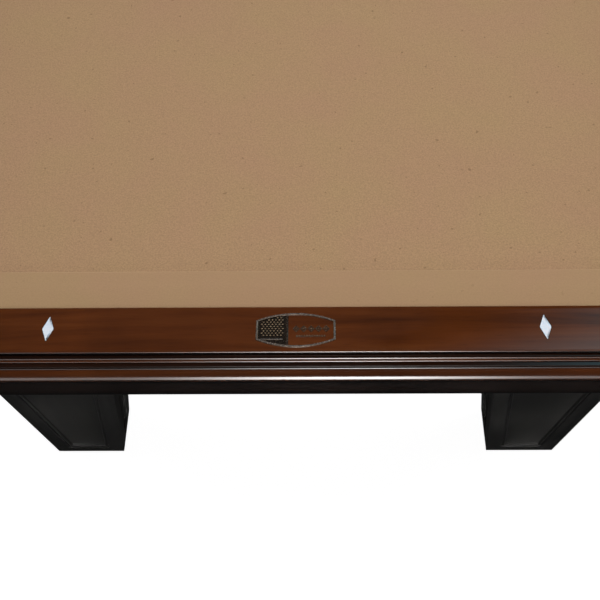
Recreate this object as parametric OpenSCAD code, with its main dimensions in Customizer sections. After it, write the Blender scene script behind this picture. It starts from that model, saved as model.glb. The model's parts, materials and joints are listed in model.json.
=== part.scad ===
// Eight-foot pool table: slate bed, six cushioned rails, six leather drop pockets,
// tapered cabinet and four panelled legs with screw-down levelers.
// X runs across the table, +Y along it away from the nameplate end, +Z up.
// The origin lies on the floor under the middle of the table.

/* [Playing area] */
// Width between the cushion noses
play_w = 1118; // [990:2:1270]
// Length between the cushion noses of the two ends
play_l = 2236; // [1980:2:2540]
// Height of the slate's top face above the floor
bed_h = 762; // [740:1:790]
// Thickness of the slates
slate_t = 22; // [19:1:30]
// How far the slates run out beyond the cushion noses
slate_out = 100; // [96:1:104]

/* [Rails] */
// Height of the rail tops above the slate
rail_rise = 42; // [40:1:46]
// Depth of the rail from its flat top to its lower edge
rail_d = 64; // [60:1:70]
// Distance from the cushion nose to the line where cloth meets wood
cushion_w = 55.5; // [52:0.5:58]
// Distance from the cushion nose to the centre line of the sights
sight_u = 84; // [80:1:90]
// Distance from the cushion nose to the top arris of the moulding
arris_u = 115.5; // [110:0.5:120]
// Thickness of the cloth
cloth_t = 1; // [0.6:0.1:1.4]

/* [Sights and nameplate] */
// Length of a sight, across the rail
sight_l = 34; // [25:1:40]
// Width of a sight, along the rail
sight_w = 13.3; // [10:0.1:16]
// Width of the nameplate, along the rail
plate_w = 90; // [70:1:110]
// Height of the nameplate, across the rail
plate_h = 46; // [30:1:50]
// How far the nameplate's long edges bulge at the middle
plate_bow = 10; // [2:1:14]

/* [Pockets] */
// Distance from the crossing of two nose lines back to each cushion tip
corner_tip = 88; // [82:1:92]
// Distance from the middle of a side pocket to each cushion tip
side_tip = 66.5; // [62:0.5:72]
// Inner radius of the corner pockets
corner_r = 52; // [50:1:54]
// Inner radius of the side pockets
side_r = 50; // [48:1:51]
// Height of the pocket bags' lowest point
bag_low = 600; // [580:1:640]

/* [Cabinet] */
// Height of the leg tops, where the cabinet sits
leg_top = 520; // [480:1:560]
// Distance from the rail's outermost edge in to the apron's top edge
apron_inset = 62; // [58:1:66]
// How much further in the apron's lower edge is
apron_lean = 85; // [60:1:100]
// Thickness of the aprons
apron_t = 20; // [16:1:20]

/* [Legs] */
// Distance of the leg centres from the table's long centre line
leg_x = 418; // [400:1:430]
// Distance of the leg centres from the table's short centre line
leg_y = 920; // [880:1:960]
// Width of a leg at the floor, across the table
foot_w = 128; // [110:1:150]
// Depth of a leg at the floor, along the table
foot_d = 92; // [80:1:130]
// How much each face leans out per millimetre of height
leg_taper = 0.115; // [0.05:0.005:0.14]
// Gap between the legs and the floor with the levelers screwed right in
foot_gap = 2; // [1:0.5:5]

/* [Levelers] */
// Radius of a leveler's pad
pad_r = 24; // [20:1:28]
// Thickness of a leveler's pad
pad_h = 10; // [8:1:14]
// Radius of a leveler's threaded stud
stud_r = 6; // [5:0.5:8]

/* [Hidden] */
$fn = 48;
EPS = 0.01;
FAR = 1000;
SIGNS = [-1, 1];
half_w = play_w / 2;
half_l = play_l / 2;
pitch = play_w / 4;
rail_top = bed_h + rail_rise;
cloth_top = bed_h + cloth_t;
rail_low = rail_top - rail_d;
slate_low = bed_h - slate_t;

// Rail section: u runs outward from the nose, v is the height from the rail top
seat_v = cloth_top - rail_top;
subrail_u = 36;
rubber_top_u = 31;
rubber_low_v = -29;
sight_d = 1.5;
plate_out = 3;
plate_sunk = 1.2;
plate_up = 0.6;
groove_w = 3.5;
groove_d = 8;
fascia_u = slate_out + 1;
top_v = -cloth_t - 0.2;
arris_r = 1.5;
quirk_v = 6;
reed_o = 2.6;
reed_v = -7.9;
reed_r = 2.4;
low_reed_o = 4.75;
low_reed_v = -10.8;
low_reed_r = 2.2;
low_quirk_v = 11.5;
fillet_o = 12.9;
fillet_v = -16.2;
fillet_r = 1.3;
fascia_o = 19;
torus_r = 10;
torus_o = 11.5;
torus_v = -27.5;
rail_w = arris_u + torus_o + torus_r;
out_x = half_w + rail_w;
out_y = half_l + rail_w;

// Corner pockets: cushion facings stand 142 degrees from the nose line
corner_c = 27;
corner_k = 1 / tan(38);
rim_w = 8;
rim_u = 60;
shield_r = 94;
shield_a = 12;
// Side pockets: cushion facings stand 104 degrees from the nose line
side_c = 60;
side_k = 1 / tan(76);
side_gap = 66;
side_arc_r = 94;
side_arc_c = 40;
facing_t = 3;
iron_top = rail_top + 1.5;
iron_low = rail_top - 22;
shield_low = rail_low - 5;
shield_t = 6;
bag_t = 3.5;
bag_gap = 3;
bag_rim = bed_h - 6;
bag_panels = 12;
seam = 0.3;
bag_room = 10;

bolt_u = 86;
bolt_r = 5;
bolt_head_r = 9;
bolt_head_h = 7;
bolt_len = 44;
bolt_hole_up = 30;
washer_t = 2;
washer_out = 0.5;
bolt_gap = 0.5;
side_bolts = [180, 560, 940];
end_bolts = [-400, 0, 400];

beam_x = 415;
beam_w = 45;
cross_w = 130;
cross_h = 80;
corner_in = 34;
corner_plan = half_w + half_l - corner_in;
panel_t = 28;
screw_r = 3;
screw_head_r = 6.5;
screw_len = 60;
screw_head_h = 4;
screw_sunk = 0.5;
screw_gap = 0.3;
screw_ys = [360, 450, 1100];

leg_h = leg_top - foot_gap;
top_w = foot_w + 2 * leg_taper * leg_h;
top_d = foot_d + 2 * leg_taper * leg_h;
lean = atan(leg_taper);
stile = 28;
low_rail = 20;
high_rail = 45;
recess = 6;
field_gap = 14;
field_up = 3.5;
leg_bolt_r = 6;
leg_bolt_dx = 70;
leg_bolt_down = 90;
leg_washer_r = 11;
leg_washer_t = 2.5;
leg_head_r = 10;
leg_head_h = 8;
pad_gap = 0.3;
nut_r = 9;
nut_flange_r = 14;
nut_flange_h = 2;
nut_h = 30;
stud_h = 65;
thread_gap = 0.05;

// Finishes
module rail_wood() { color([0.30, 0.15, 0.07]) children(); }
module dark_wood() { color([0.10, 0.095, 0.09]) children(); }
module frame_wood() { color([0.72, 0.58, 0.40]) children(); }
module rubber() { color([0.12, 0.12, 0.12]) children(); }
module cloth() { color([0.64, 0.50, 0.38]) children(); }
module stone() { color([0.32, 0.34, 0.36]) children(); }
module leather() { color([0.20, 0.11, 0.06]) children(); }
module steel() { color([0.65, 0.66, 0.67]) children(); }

// Points of an arc round (cx, cy) from angle a0 to a1, in n steps
function arc(cx, cy, r, a0, a1, n) =
  [for (i = [0:n]) let (a = a0 + (a1 - a0) * i / n) [cx + r * cos(a), cy + r * sin(a)]];

// Moulding from the top arris down to the rail's lower edge, as [outward, up] from the arris:
// a rounded arris, two reeds with a quirk above and below them, a torus and a plain fascia
function moulding() = concat(
  arc(-arris_r, -arris_r, arris_r, 90, 0, 3),
  [[0, -quirk_v]],
  arc(reed_o, reed_v, reed_r, 128, 0, 4),
  arc(low_reed_o, low_reed_v, low_reed_r, 84, 0, 3),
  [[low_reed_o + low_reed_r, -low_quirk_v], [fillet_o - fillet_r, -low_quirk_v]],
  arc(fillet_o, fillet_v, fillet_r, 180, 262, 2),
  arc(torus_o, torus_v, torus_r, 82, -50, 14),
  [[16.5, -36.5], [16.5, -41], [fascia_o, -52], [fascia_o, -61], [fascia_o - 1.5, -rail_d]]
);

// Whole wooden rail section
function rail_section() = concat(
  [for (p = moulding()) [arris_u + p[0], p[1]]],
  [
    [fascia_u, -rail_d], [fascia_u, seat_v], [subrail_u, seat_v],
    [subrail_u, rubber_low_v], [rubber_top_u, top_v - 0.4],
    [cushion_w - groove_w, top_v], [cushion_w - groove_w, top_v - groove_d],
    [cushion_w, top_v - groove_d], [cushion_w, 0]
  ]
);

function rubber_section() = [
  [rubber_top_u, top_v - 0.4], [subrail_u, rubber_low_v], [2.2, -9.2], [1, -8],
  [1, -6.4], [2.2, -5.6]
];

function feather_section() = [
  [cushion_w - groove_w, top_v - groove_d], [cushion_w, top_v - groove_d],
  [cushion_w, top_v], [cushion_w - groove_w, top_v]
];

// Cloth wrapped from the feather strip over the rubber and down the front of the sub-rail
function wrap_section() = [
  [cushion_w, top_v], [cushion_w, top_v + cloth_t], [rubber_top_u, top_v + cloth_t - 0.4],
  [2, -4.5], [0, -6], [0, -8.3], [2, -10.3], [subrail_u - 1, rubber_low_v - 1],
  [subrail_u - 1, seat_v], [subrail_u, seat_v], [subrail_u, rubber_low_v], [2.2, -9.2], [1, -8],
  [1, -6.4], [2.2, -5.6], [rubber_top_u, top_v - 0.4], [cushion_w - groove_w, top_v]
];

// Mirrors a piece built at +X, +Y into any quarter of the table
module quarter(sx, sy) {
  mirror([sx < 0 ? 1 : 0, 0, 0]) mirror([0, sy < 0 ? 1 : 0, 0]) children();
}

// Sweeps a section along the right-hand side from y0 to y1
module sweep_side(y0, y1) {
  translate([half_w, y1, rail_top]) rotate([90, 0, 0]) linear_extrude(height = y1 - y0) children();
}

// Sweeps a section along the +Y end from -x1 to x1
module sweep_end(x1) {
  translate([-x1, half_l, rail_top]) rotate([90, 0, 90]) linear_extrude(height = 2 * x1) children();
}

module through() {
  translate([0, 0, slate_low - FAR / 4]) linear_extrude(height = FAR / 2) children();
}

// Ground plan of what a corner pocket takes off a side rail, from the crossing of the nose lines.
// back moves the cushion facing along the rail, to leave room for the rubber facing.
module corner_cut(back = 0) {
  polygon([
    [-20, -corner_tip - back - 20 * corner_k], [rim_u, -corner_tip - back + rim_u * corner_k],
    [rim_u, FAR / 5], [-20, FAR / 5]
  ]);
  intersection() {
    translate([corner_c, corner_c]) circle(r = corner_r + rim_w);
    translate([rim_u, -FAR / 5]) square(FAR / 2);
  }
  polygon([
    [corner_c, corner_c],
    [corner_c + FAR / 4 * cos(shield_a), corner_c + FAR / 4 * sin(shield_a)],
    [corner_c + FAR / 4, FAR / 3], [corner_c, FAR / 3]
  ]);
}

module side_rail_corner_cut(back = 0) {
  through() translate([half_w, half_l]) corner_cut(back);
}

module end_rail_corner_cuts(back = 0) {
  for (sx = SIGNS) {
    mirror([sx < 0 ? 1 : 0, 0, 0]) through() translate([half_w, half_l]) mirror([1, -1, 0]) corner_cut(back);
  }
}

module side_pocket_cut(back = 0) {
  through() translate([half_w, 0]) {
    polygon([
      [-20, -FAR / 10], [rim_u, -FAR / 10], [rim_u, side_tip + back - rim_u * side_k],
      [-20, side_tip + back + 20 * side_k]
    ]);
    translate([rim_u - EPS, -FAR / 10]) square([FAR / 5, FAR / 10 + side_gap]);
  }
}

// Lozenge with its long axis along X
module lozenge() {
  polygon([[-sight_l / 2, 0], [0, -sight_w / 2], [sight_l / 2, 0], [0, sight_w / 2]]);
}

module sight(depth) {
  translate([0, 0, rail_top - depth]) linear_extrude(height = depth) lozenge();
}

module side_sights(depth) {
  for (i = [1:3]) translate([half_w + sight_u, i * pitch, 0]) sight(depth);
}

module end_sights(depth, middle) {
  for (i = middle ? [-1, 0, 1] : [-1, 1]) {
    translate([i * pitch, half_l + sight_u, 0]) rotate([0, 0, 90]) sight(depth);
  }
}

// Barrel outline of the nameplate
module plate_outline() {
  r = (pow(plate_w / 2, 2) + pow(plate_bow, 2)) / (2 * plate_bow);
  intersection() {
    square([plate_w, plate_h], center = true);
    translate([0, plate_h / 2 - r]) circle(r = r, $fn = 240);
    translate([0, r - plate_h / 2]) circle(r = r, $fn = 240);
  }
}

module plate_body(low, high) {
  translate([0, half_l + sight_u + plate_out, rail_top + low]) {
    linear_extrude(height = high - low) plate_outline();
  }
}

module bolt_holes_side(r, low, high) {
  for (y = side_bolts) translate([half_w + bolt_u, y, low]) cylinder(r = r, h = high - low);
}

module bolt_holes_end(r, low, high) {
  for (x = end_bolts) translate([x, half_l + bolt_u, low]) cylinder(r = r, h = high - low);
}

module side_rail() {
  difference() {
    sweep_side(0, half_l + rail_w) polygon(rail_section());
    side_rail_corner_cut();
    side_pocket_cut();
    side_sights(sight_d);
    bolt_holes_side(bolt_r + bolt_gap, rail_low - 1, bed_h + bolt_hole_up);
  }
}

module end_rail(named) {
  difference() {
    sweep_end(half_w + rail_w) polygon(rail_section());
    end_rail_corner_cuts();
    end_sights(sight_d, !named);
    if (named) plate_body(-plate_sunk, 1);
    bolt_holes_end(bolt_r + bolt_gap, rail_low - 1, bed_h + bolt_hole_up);
  }
}

module side_strip(back = 0) {
  difference() {
    sweep_side(0, half_l) children();
    side_rail_corner_cut(back * sqrt(1 + corner_k * corner_k));
    side_pocket_cut(back * sqrt(1 + side_k * side_k));
  }
}

module end_strip(back = 0) {
  difference() {
    sweep_end(half_w) children();
    end_rail_corner_cuts(back * sqrt(1 + corner_k * corner_k));
  }
}

// Rubber pads that close the ends of the cushions at the pockets
module facings() {
  for (sx = SIGNS, sy = SIGNS) {
    quarter(sx, sy) difference() {
      side_strip() polygon(rubber_section());
      side_strip(facing_t) polygon(rubber_section());
    }
  }
  for (sy = SIGNS) {
    quarter(1, sy) difference() {
      end_strip() polygon(rubber_section());
      end_strip(facing_t) polygon(rubber_section());
    }
  }
}

// Ground plan of the slates and the bed cloth, with the pocket cut-outs
module bed_plan(notch) {
  difference() {
    square([2 * (half_w + slate_out), 2 * (half_l + slate_out)], center = true);
    for (sx = SIGNS) {
      for (sy = SIGNS) {
        scale([sx, sy]) translate([half_w + corner_c, half_l + corner_c]) {
          circle(r = corner_r + bag_t + notch);
          polygon([[-FAR / 4, FAR / 4], [FAR / 4, -FAR / 4], [FAR / 4, FAR / 4]]);
        }
      }
      scale([sx, 1]) translate([half_w + side_c, 0]) {
        circle(r = side_r + bag_t + notch);
        translate([0, -side_r - bag_t - notch]) square([FAR / 4, 2 * (side_r + bag_t + notch)]);
      }
    }
  }
}

module bed_layer(low, high, notch) {
  difference() {
    translate([0, 0, low]) linear_extrude(height = high - low) bed_plan(notch);
    for (sx = SIGNS, sy = SIGNS) quarter(sx, sy) bolt_holes_side(bolt_r + 1, low - 1, high + 1);
    for (sy = SIGNS) quarter(1, sy) bolt_holes_end(bolt_r + 1, low - 1, high + 1);
  }
}

module at_screws() {
  for (x = [-beam_x, 0, beam_x], y = screw_ys, sy = SIGNS) translate([x, sy * y, 0]) children();
}

module slate(y0, y1) {
  difference() {
    intersection() {
      bed_layer(slate_low, bed_h, bag_gap);
      translate([-FAR, y0, slate_low - 1]) cube([2 * FAR, y1 - y0, slate_t + 2]);
    }
    at_screws() {
      translate([0, 0, slate_low - 1]) cylinder(r = screw_r + screw_gap, h = slate_t + 2);
      translate([0, 0, bed_h - screw_head_h - 2 * screw_sunk]) {
        cylinder(r = screw_head_r + screw_gap, h = screw_head_h + 2);
      }
    }
  }
}

// Leather-covered casting that joins two rails round a corner pocket
module corner_iron() {
  translate([half_w, half_l, 0]) {
    translate([0, 0, iron_low]) linear_extrude(height = iron_top - iron_low) difference() {
      union() {
        difference() {
          translate([corner_c, corner_c]) circle(r = corner_r + rim_w);
          translate([-FAR + rim_u, -FAR + rim_u]) square(FAR);
        }
        shield_plan(corner_r + 1, shield_r);
      }
      translate([corner_c, corner_c]) circle(r = corner_r);
    }
    translate([0, 0, shield_low]) linear_extrude(height = iron_low - shield_low + EPS) {
      shield_plan(shield_r - shield_t, shield_r);
    }
  }
}

// Wedge of a ring between the ends of two rails
module shield_plan(r0, r1) {
  translate([corner_c, corner_c]) intersection() {
    difference() {
      circle(r = r1, $fn = 96);
      circle(r = r0, $fn = 96);
    }
    polygon([[0, 0], FAR * [cos(shield_a), sin(shield_a)], [FAR, FAR], FAR * [sin(shield_a), cos(shield_a)]]);
  }
}

module side_iron_plan(r1) {
  intersection() {
    translate([rim_u, -side_gap]) square([FAR, 2 * side_gap]);
    translate([side_arc_c, 0]) circle(r = r1, $fn = 96);
  }
}

module side_iron() {
  translate([half_w, 0, 0]) {
    translate([0, 0, iron_low]) linear_extrude(height = iron_top - iron_low) difference() {
      side_iron_plan(side_arc_r);
      translate([side_c, 0]) circle(r = side_r);
    }
    translate([0, 0, shield_low]) linear_extrude(height = iron_low - shield_low + EPS) difference() {
      side_iron_plan(side_arc_r);
      translate([side_arc_c, 0]) circle(r = side_arc_r - shield_t, $fn = 96);
      translate([0, -FAR / 2]) square([slate_out + 1, FAR]);
    }
  }
}

// Pouch sewn from flat upright panels round a flat base, with a seam's gap between them.
// Above the bed its panels stand only at the back, away from turn.
module bag(r, turn) {
  step = 360 / bag_panels;
  translate([0, 0, bag_low]) rotate([0, 0, turn + 90]) {
    for (i = [0:bag_panels - 1]) {
      rim = i < bag_panels / 2 ? iron_low : bag_rim;
      rotate([0, 0, (i + 0.5) * step]) linear_extrude(height = rim - bag_low) bag_panel(r);
    }
    linear_extrude(height = bag_t) {
      polygon([for (i = [1:bag_panels]) (r - seam) / cos(step / 2) * [cos(i * step), sin(i * step)]]);
    }
  }
}

// Plan of one panel, whose inner face is r from the pouch's axis
module bag_panel(r) {
  k = tan(180 / bag_panels);
  polygon([
    [r, seam - r * k], [r + bag_t, seam - (r + bag_t) * k],
    [r + bag_t, (r + bag_t) * k - seam], [r, r * k - seam]
  ]);
}

module corner_bag() {
  translate([half_w + corner_c, half_l + corner_c, 0]) bag(corner_r, 225);
}

module side_bag() {
  translate([half_w + side_c, 0, 0]) bag(side_r, 180);
}

// Distance of the apron's outer face in from the rail's outermost edge, at a given height
function apron_in(z) = apron_inset + apron_lean * (slate_low - z) / (slate_low - leg_top);

// Upright cut through the cabinet, out to the aprons' outer faces less a set-in
module cabinet_section(out, low, high, set_in) {
  polygon([
    [-(out - apron_in(low) - set_in), low], [out - apron_in(low) - set_in, low],
    [out - apron_in(high) - set_in, high], [-(out - apron_in(high) - set_in), high]
  ]);
}

module across(w) { rotate([90, 0, 0]) translate([0, 0, -w / 2]) linear_extrude(height = w) children(); }
module along(w) { rotate([90, 0, 90]) translate([0, 0, -w / 2]) linear_extrude(height = w) children(); }

module cabinet_body(set_in) {
  intersection() {
    across(3 * FAR) cabinet_section(out_x, leg_top, slate_low, set_in);
    along(3 * FAR) cabinet_section(out_y, leg_top, slate_low, set_in);
  }
}

// Square stood on its corner that trims the cabinet's corners
module corner_trim(reach) {
  translate([0, 0, leg_top - 1]) linear_extrude(height = slate_low - leg_top + 2) {
    polygon([[reach, 0], [0, reach], [-reach, 0], [0, -reach]]);
  }
}

// Board of one side, between the corner panels
module apron_side() {
  difference() {
    intersection() {
      across(3 * FAR) polygon([
        [out_x - apron_in(leg_top) - apron_t, leg_top], [out_x - apron_in(leg_top), leg_top],
        [out_x - apron_in(slate_low), slate_low], [out_x - apron_in(slate_low) - apron_t, slate_low]
      ]);
      corner_trim(corner_plan - panel_t);
    }
    translate([out_x - 3 * apron_lean, -side_r - bag_t - bag_room, bag_low - bag_room]) {
      cube([3 * apron_lean, 2 * (side_r + bag_t + bag_room), FAR]);
    }
  }
}

// Board of one end, kept clear of the side boards
module apron_end() {
  intersection() {
    along(3 * FAR) polygon([
      [out_y - apron_in(leg_top) - apron_t, leg_top], [out_y - apron_in(leg_top), leg_top],
      [out_y - apron_in(slate_low), slate_low], [out_y - apron_in(slate_low) - apron_t, slate_low]
    ]);
    corner_trim(corner_plan - panel_t);
  }
}

module corner_panels_body() {
  difference() {
    intersection() {
      cabinet_body(0);
      corner_trim(corner_plan);
    }
    corner_trim(corner_plan - panel_t);
  }
}

module long_beam(x) {
  difference() {
    translate([x, 0, 0]) along(beam_w) cabinet_section(out_y, leg_top + cross_h, slate_low, apron_t);
    at_screws() translate([0, 0, bed_h - screw_len - 2]) cylinder(r = screw_r + 0.1, h = screw_len);
  }
}

module cross_beam(sy) {
  difference() {
    translate([0, sy * leg_y, 0]) across(cross_w) cabinet_section(out_x, leg_top, leg_top + cross_h, apron_t);
    at_leg_bolts() translate([0, 0, leg_top - 1]) cylinder(r = leg_bolt_r + 0.5, h = cross_h + 2);
  }
}

module at_leg_bolts() {
  for (sx = SIGNS, sy = SIGNS, dx = SIGNS) {
    translate([sx * leg_x + dx * leg_bolt_dx, sy * leg_y, 0]) children();
  }
}

// Plan of a leg face's panel at a set-in from the stiles, as [across, up the face]
module panel_shape(w, set_in) {
  low = low_rail + set_in;
  high = leg_h / cos(lean) - high_rail - set_in;
  side = w / 2 - stile - set_in;
  polygon([
    [-side - low * leg_taper, low], [side + low * leg_taper, low],
    [side + high * leg_taper, high], [-side - high * leg_taper, high]
  ]);
}

// Sunk panel with a raised field, on a face w wide at the floor and d from the leg's axis
module leg_panel(w, d) {
  translate([0, -d, foot_gap]) rotate([90 + lean, 0, 0]) difference() {
    translate([0, 0, -recess]) linear_extrude(height = recess + 5) panel_shape(w, 0);
    translate([0, 0, -recess - 1]) linear_extrude(height = field_up + 1) panel_shape(w, field_gap);
  }
}

module leg() {
  difference() {
    translate([0, 0, foot_gap]) {
      linear_extrude(height = leg_h, scale = [top_w / foot_w, top_d / foot_d], slices = 1) {
        square([foot_w, foot_d], center = true);
      }
    }
    for (turn = [0, 180]) {
      rotate([0, 0, turn]) leg_panel(foot_w, foot_d / 2);
      rotate([0, 0, turn + 90]) leg_panel(foot_d, foot_w / 2);
    }
    cylinder(r = pad_r + 2, h = pad_h + pad_gap);
    cylinder(r = nut_flange_r, h = pad_h + pad_gap + nut_flange_h);
    cylinder(r = nut_r, h = pad_h + pad_gap + nut_h);
    cylinder(r = stud_r + 1, h = pad_h + stud_h + 5);
    for (dx = SIGNS) {
      translate([dx * leg_bolt_dx, 0, leg_top - leg_bolt_down - 5]) {
        cylinder(r = leg_bolt_r + 0.2, h = leg_bolt_down + 10);
      }
    }
  }
}

module leveler() {
  cylinder(r = pad_r, h = pad_h);
  translate([0, 0, pad_h - EPS]) cylinder(r = stud_r, h = stud_h);
}

module leveler_nut() {
  translate([0, 0, pad_h + pad_gap]) difference() {
    union() {
      cylinder(r = nut_flange_r, h = nut_flange_h);
      cylinder(r = nut_r, h = nut_h);
    }
    translate([0, 0, -1]) cylinder(r = stud_r + thread_gap, h = nut_h + 2);
  }
}

module rail_bolt() {
  translate([0, 0, slate_low - bolt_head_h]) {
    cylinder(r = bolt_head_r, h = bolt_head_h - washer_t, $fn = 6);
  }
  translate([0, 0, slate_low - washer_t - EPS]) cylinder(r = bolt_head_r + washer_out, h = washer_t + EPS);
  translate([0, 0, slate_low - EPS]) cylinder(r = bolt_r, h = bolt_len);
}

module slate_screw() {
  translate([0, 0, bed_h - screw_sunk - screw_head_h]) cylinder(r = screw_head_r, h = screw_head_h);
  translate([0, 0, bed_h - screw_len]) cylinder(r = screw_r, h = screw_len - screw_head_h);
}

module leg_bolt() {
  translate([0, 0, leg_top + cross_h]) cylinder(r = leg_washer_r, h = leg_washer_t);
  translate([0, 0, leg_top + cross_h + leg_washer_t - EPS]) cylinder(r = leg_head_r, h = leg_head_h, $fn = 6);
  translate([0, 0, leg_top - leg_bolt_down]) cylinder(r = leg_bolt_r, h = leg_bolt_down + cross_h + EPS);
}

// One module per node from here on
module rail_head() { rail_wood() quarter(1, -1) end_rail(true); }
module rail_foot() { rail_wood() end_rail(false); }
module rail_left_head() { rail_wood() quarter(-1, -1) side_rail(); }
module rail_left_foot() { rail_wood() quarter(-1, 1) side_rail(); }
module rail_right_head() { rail_wood() quarter(1, -1) side_rail(); }
module rail_right_foot() { rail_wood() side_rail(); }

module cushion_end(sy) { rubber() quarter(1, sy) end_strip(facing_t) polygon(rubber_section()); }
module cushion_side(sx, sy) { rubber() quarter(sx, sy) side_strip(facing_t) polygon(rubber_section()); }
module wrap_end(sy) { cloth() quarter(1, sy) end_strip() polygon(wrap_section()); }
module wrap_side(sx, sy) { cloth() quarter(sx, sy) side_strip() polygon(wrap_section()); }

module feather_strips() {
  cloth() {
    for (sx = SIGNS, sy = SIGNS) quarter(sx, sy) side_strip() polygon(feather_section());
    for (sy = SIGNS) quarter(1, sy) end_strip() polygon(feather_section());
  }
}

module cushion_facings() { rubber() facings(); }

module sights() {
  color([0.92, 0.92, 0.90]) {
    for (sx = SIGNS, sy = SIGNS) quarter(sx, sy) side_sights(sight_d);
    quarter(1, -1) end_sights(sight_d, false);
    end_sights(sight_d, true);
  }
}

module nameplate() { color([0.25, 0.22, 0.20]) quarter(1, -1) plate_body(-plate_sunk, plate_up); }

module slate_head() { stone() slate(-half_l - slate_out, -half_l / 3); }
module slate_middle() { stone() slate(-half_l / 3, half_l / 3); }
module slate_foot() { stone() slate(half_l / 3, half_l + slate_out); }
module bed_cloth() { cloth() bed_layer(bed_h, cloth_top, bag_gap); }

module rail_bolts() {
  steel() {
    for (sx = SIGNS, sy = SIGNS, y = side_bolts) {
      translate([sx * (half_w + bolt_u), sy * y, 0]) rail_bolt();
    }
    for (sy = SIGNS, x = end_bolts) translate([x, sy * (half_l + bolt_u), 0]) rail_bolt();
  }
}

module slate_screws() { steel() at_screws() slate_screw(); }

module iron_corner(sx, sy) { leather() quarter(sx, sy) corner_iron(); }
module iron_side(sx) { leather() quarter(sx, 1) side_iron(); }
module bag_corner(sx, sy) { leather() quarter(sx, sy) corner_bag(); }
module bag_side(sx) { leather() quarter(sx, 1) side_bag(); }

module apron_head() { dark_wood() quarter(1, -1) apron_end(); }
module apron_foot() { dark_wood() apron_end(); }
module apron_left() { dark_wood() quarter(-1, 1) apron_side(); }
module apron_right() { dark_wood() apron_side(); }
module corner_panels() { dark_wood() corner_panels_body(); }

module long_beam_left() { frame_wood() long_beam(-beam_x); }
module long_beam_middle() { frame_wood() long_beam(0); }
module long_beam_right() { frame_wood() long_beam(beam_x); }
module cross_beam_head() { frame_wood() cross_beam(-1); }
module cross_beam_foot() { frame_wood() cross_beam(1); }

module leg_at(sx, sy) { dark_wood() translate([sx * leg_x, sy * leg_y, 0]) leg(); }
module leveler_at(sx, sy) { steel() translate([sx * leg_x, sy * leg_y, 0]) leveler(); }
module leg_bolts() { steel() at_leg_bolts() leg_bolt(); }

module leveler_nuts() {
  steel() for (sx = SIGNS, sy = SIGNS) translate([sx * leg_x, sy * leg_y, 0]) leveler_nut();
}

rail_head();
rail_foot();
rail_left_head();
rail_left_foot();
rail_right_head();
rail_right_foot();
cushion_end(-1);  // cushion_head
cushion_end(1);  // cushion_foot
cushion_side(-1, -1);  // cushion_left_head
cushion_side(-1, 1);  // cushion_left_foot
cushion_side(1, -1);  // cushion_right_head
cushion_side(1, 1);  // cushion_right_foot
wrap_end(-1);  // cushion_cloth_head
wrap_end(1);  // cushion_cloth_foot
wrap_side(-1, -1);  // cushion_cloth_left_head
wrap_side(-1, 1);  // cushion_cloth_left_foot
wrap_side(1, -1);  // cushion_cloth_right_head
wrap_side(1, 1);  // cushion_cloth_right_foot
feather_strips();
cushion_facings();
sights();
nameplate();
slate_head();
slate_middle();
slate_foot();
bed_cloth();
rail_bolts();
slate_screws();
iron_corner(-1, -1);  // pocket_iron_left_head
iron_corner(1, -1);  // pocket_iron_right_head
iron_corner(-1, 1);  // pocket_iron_left_foot
iron_corner(1, 1);  // pocket_iron_right_foot
iron_side(-1);  // pocket_iron_left_side
iron_side(1);  // pocket_iron_right_side
bag_corner(-1, -1);  // pocket_bag_left_head
bag_corner(1, -1);  // pocket_bag_right_head
bag_corner(-1, 1);  // pocket_bag_left_foot
bag_corner(1, 1);  // pocket_bag_right_foot
bag_side(-1);  // pocket_bag_left_side
bag_side(1);  // pocket_bag_right_side
apron_head();
apron_foot();
apron_left();
apron_right();
corner_panels();
long_beam_left();
long_beam_middle();
long_beam_right();
cross_beam_head();
cross_beam_foot();
leg_at(-1, -1);  // leg_left_head
leg_at(1, -1);  // leg_right_head
leg_at(-1, 1);  // leg_left_foot
leg_at(1, 1);  // leg_right_foot
leg_bolts();
leveler_nuts();
leveler_at(-1, -1);  // leveler_left_head
leveler_at(1, -1);  // leveler_right_head
leveler_at(-1, 1);  // leveler_left_foot
leveler_at(1, 1);  // leveler_right_foot
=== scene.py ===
import json
import math

import bmesh
import bpy
from mathutils import Matrix, Vector
from mathutils.geometry import tessellate_polygon

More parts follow.
